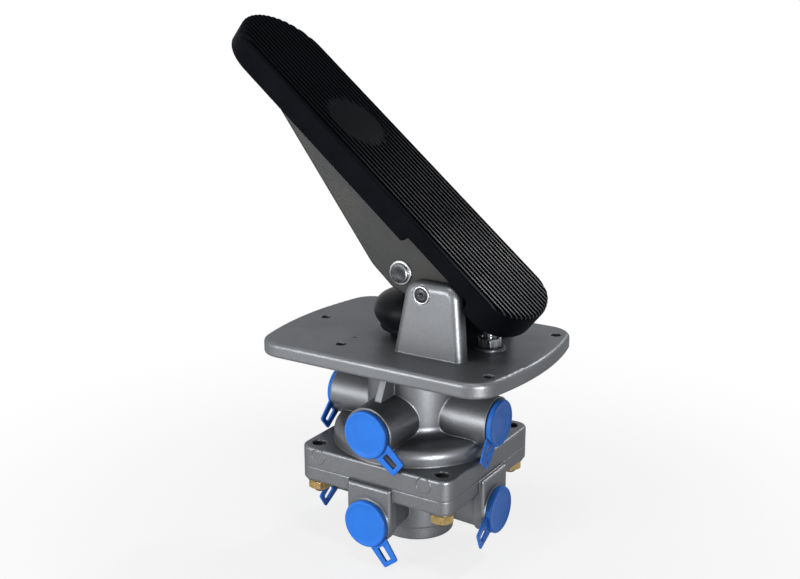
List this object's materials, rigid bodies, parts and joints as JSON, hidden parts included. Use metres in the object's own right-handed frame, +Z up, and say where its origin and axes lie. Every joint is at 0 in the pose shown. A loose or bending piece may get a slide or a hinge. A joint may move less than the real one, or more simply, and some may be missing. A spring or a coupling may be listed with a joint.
{
  "type": "foot brake valve",
  "caption": "Two-circuit pneumatic foot brake valve with a sprung ribbed pedal on a mounting plate, a stacked piston valve body below it and plugged ports.",
  "frame": {"origin": "centre of the exhaust snout's mouth, on the valve axis", "axes": "+Z up along the valve axis towards the pedal, -X towards the pedal's toe, +X towards its heel, Y along the pivot pin"},
  "size_m": [0.2086, 0.12, 0.3109],
  "materials": {
    "cast_grey": "satin grey pressure-cast aluminium",
    "black_rubber": "matt black moulded rubber",
    "seal_rubber": "black nitrile rubber of seals and valve faces",
    "zinc_yellow": "steel with a yellow zinc finish",
    "zinc_clear": "bright zinc-plated steel",
    "steel": "plain ground or drawn steel",
    "bearing_bronze": "sintered bronze bush",
    "piston_alloy": "turned aluminium",
    "blue_plastic": "soft bright blue plug plastic",
    "guide_plastic": "natural white acetal"
  },
  "bodies": {
    "housing": {"mounting_plate": "cast_grey", "upper_body": "cast_grey", "lower_body": "cast_grey", "joint_seal": "seal_rubber", "body_studs": "zinc_yellow", "body_nuts": "zinc_yellow", "body_washers": "zinc_yellow", "plate_screws": "zinc_clear", "guide_bush": "guide_plastic", "boot": "black_rubber", "pivot_pin": "steel", "pivot_bushes": "bearing_bronze", "stop_screw": "zinc_clear", "stop_nut": "zinc_clear", "piston_return_spring": "steel", "primary_valve_spring": "steel", "primary_valve_guide": "guide_plastic", "primary_guide_circlip": "steel", "relay_return_spring": "steel", "secondary_valve_spring": "steel", "secondary_valve_guide": "guide_plastic", "secondary_guide_circlip": "steel", "exhaust_grille": "zinc_clear", "exhaust_flap": "seal_rubber", "upper_right_plug": "blue_plastic", "upper_front_plug": "blue_plastic", "upper_left_plug": "blue_plastic", "lower_right_plug": "blue_plastic", "lower_front_plug": "blue_plastic", "lower_left_plug": "blue_plastic"},
    "pedal": {"treadle_arm": "cast_grey", "treadle_pad": "black_rubber", "roller_pin": "steel", "roller_clip": "steel"},
    "roller": {"roller": "guide_plastic"},
    "plunger": {"plunger": "steel"},
    "primary_piston": {"primary_piston": "piston_alloy", "primary_piston_seal": "seal_rubber", "graduating_spring": "seal_rubber"},
    "primary_valve": {"primary_valve": "piston_alloy", "primary_valve_rubber": "seal_rubber"},
    "relay_piston": {"relay_piston": "piston_alloy", "relay_piston_seal": "seal_rubber"},
    "secondary_valve": {"secondary_valve": "piston_alloy", "secondary_valve_rubber": "seal_rubber"}
  },
  "joints": [
    {"name": "treadle_pivot", "type": "hinge", "parent": "housing", "child": "pedal", "pos_m": [0.023, 0, 0.1605], "axis": [0, -1, 0], "range_deg": [0, 20], "stiffness_Nm_per_rad": 40, "springref_deg": -8.59},
    {"name": "roller_spin", "type": "hinge", "parent": "pedal", "child": "roller", "pos_m": [0.004, 0, 0.169], "axis": [0, 1, 0], "continuous": true},
    {"name": "plunger_slide", "type": "slide", "parent": "housing", "child": "plunger", "axis": [0, 0, -1], "range_m": [0, 0.00701], "deforming": ["boot", "graduating_spring"]},
    {"name": "primary_piston_slide", "type": "slide", "parent": "housing", "child": "primary_piston", "axis": [0, 0, -1], "range_m": [0, 0.00301], "deforming": ["piston_return_spring"]},
    {"name": "primary_valve_slide", "type": "slide", "parent": "housing", "child": "primary_valve", "axis": [0, 0, -1], "range_m": [0, 0.0018], "deforming": ["primary_valve_spring"]},
    {"name": "relay_piston_slide", "type": "slide", "parent": "housing", "child": "relay_piston", "axis": [0, 0, -1], "range_m": [0, 0.0025], "deforming": ["relay_return_spring"]},
    {"name": "secondary_valve_slide", "type": "slide", "parent": "housing", "child": "secondary_valve", "axis": [0, 0, -1], "range_m": [0, 0.0013], "deforming": ["secondary_valve_spring"]}
  ],
  "couplings": [
    {"joint": "plunger_slide", "follows": "treadle_pivot", "m_per_rad": 0.020054},
    {"joint": "primary_piston_slide", "follows": "treadle_pivot", "m_per_rad": 0.0085944},
    {"joint": "primary_valve_slide", "follows": "treadle_pivot", "m_per_rad": 0.0051566},
    {"joint": "relay_piston_slide", "follows": "treadle_pivot", "m_per_rad": 0.007162},
    {"joint": "secondary_valve_slide", "follows": "treadle_pivot", "m_per_rad": 0.0037242}
  ]
}
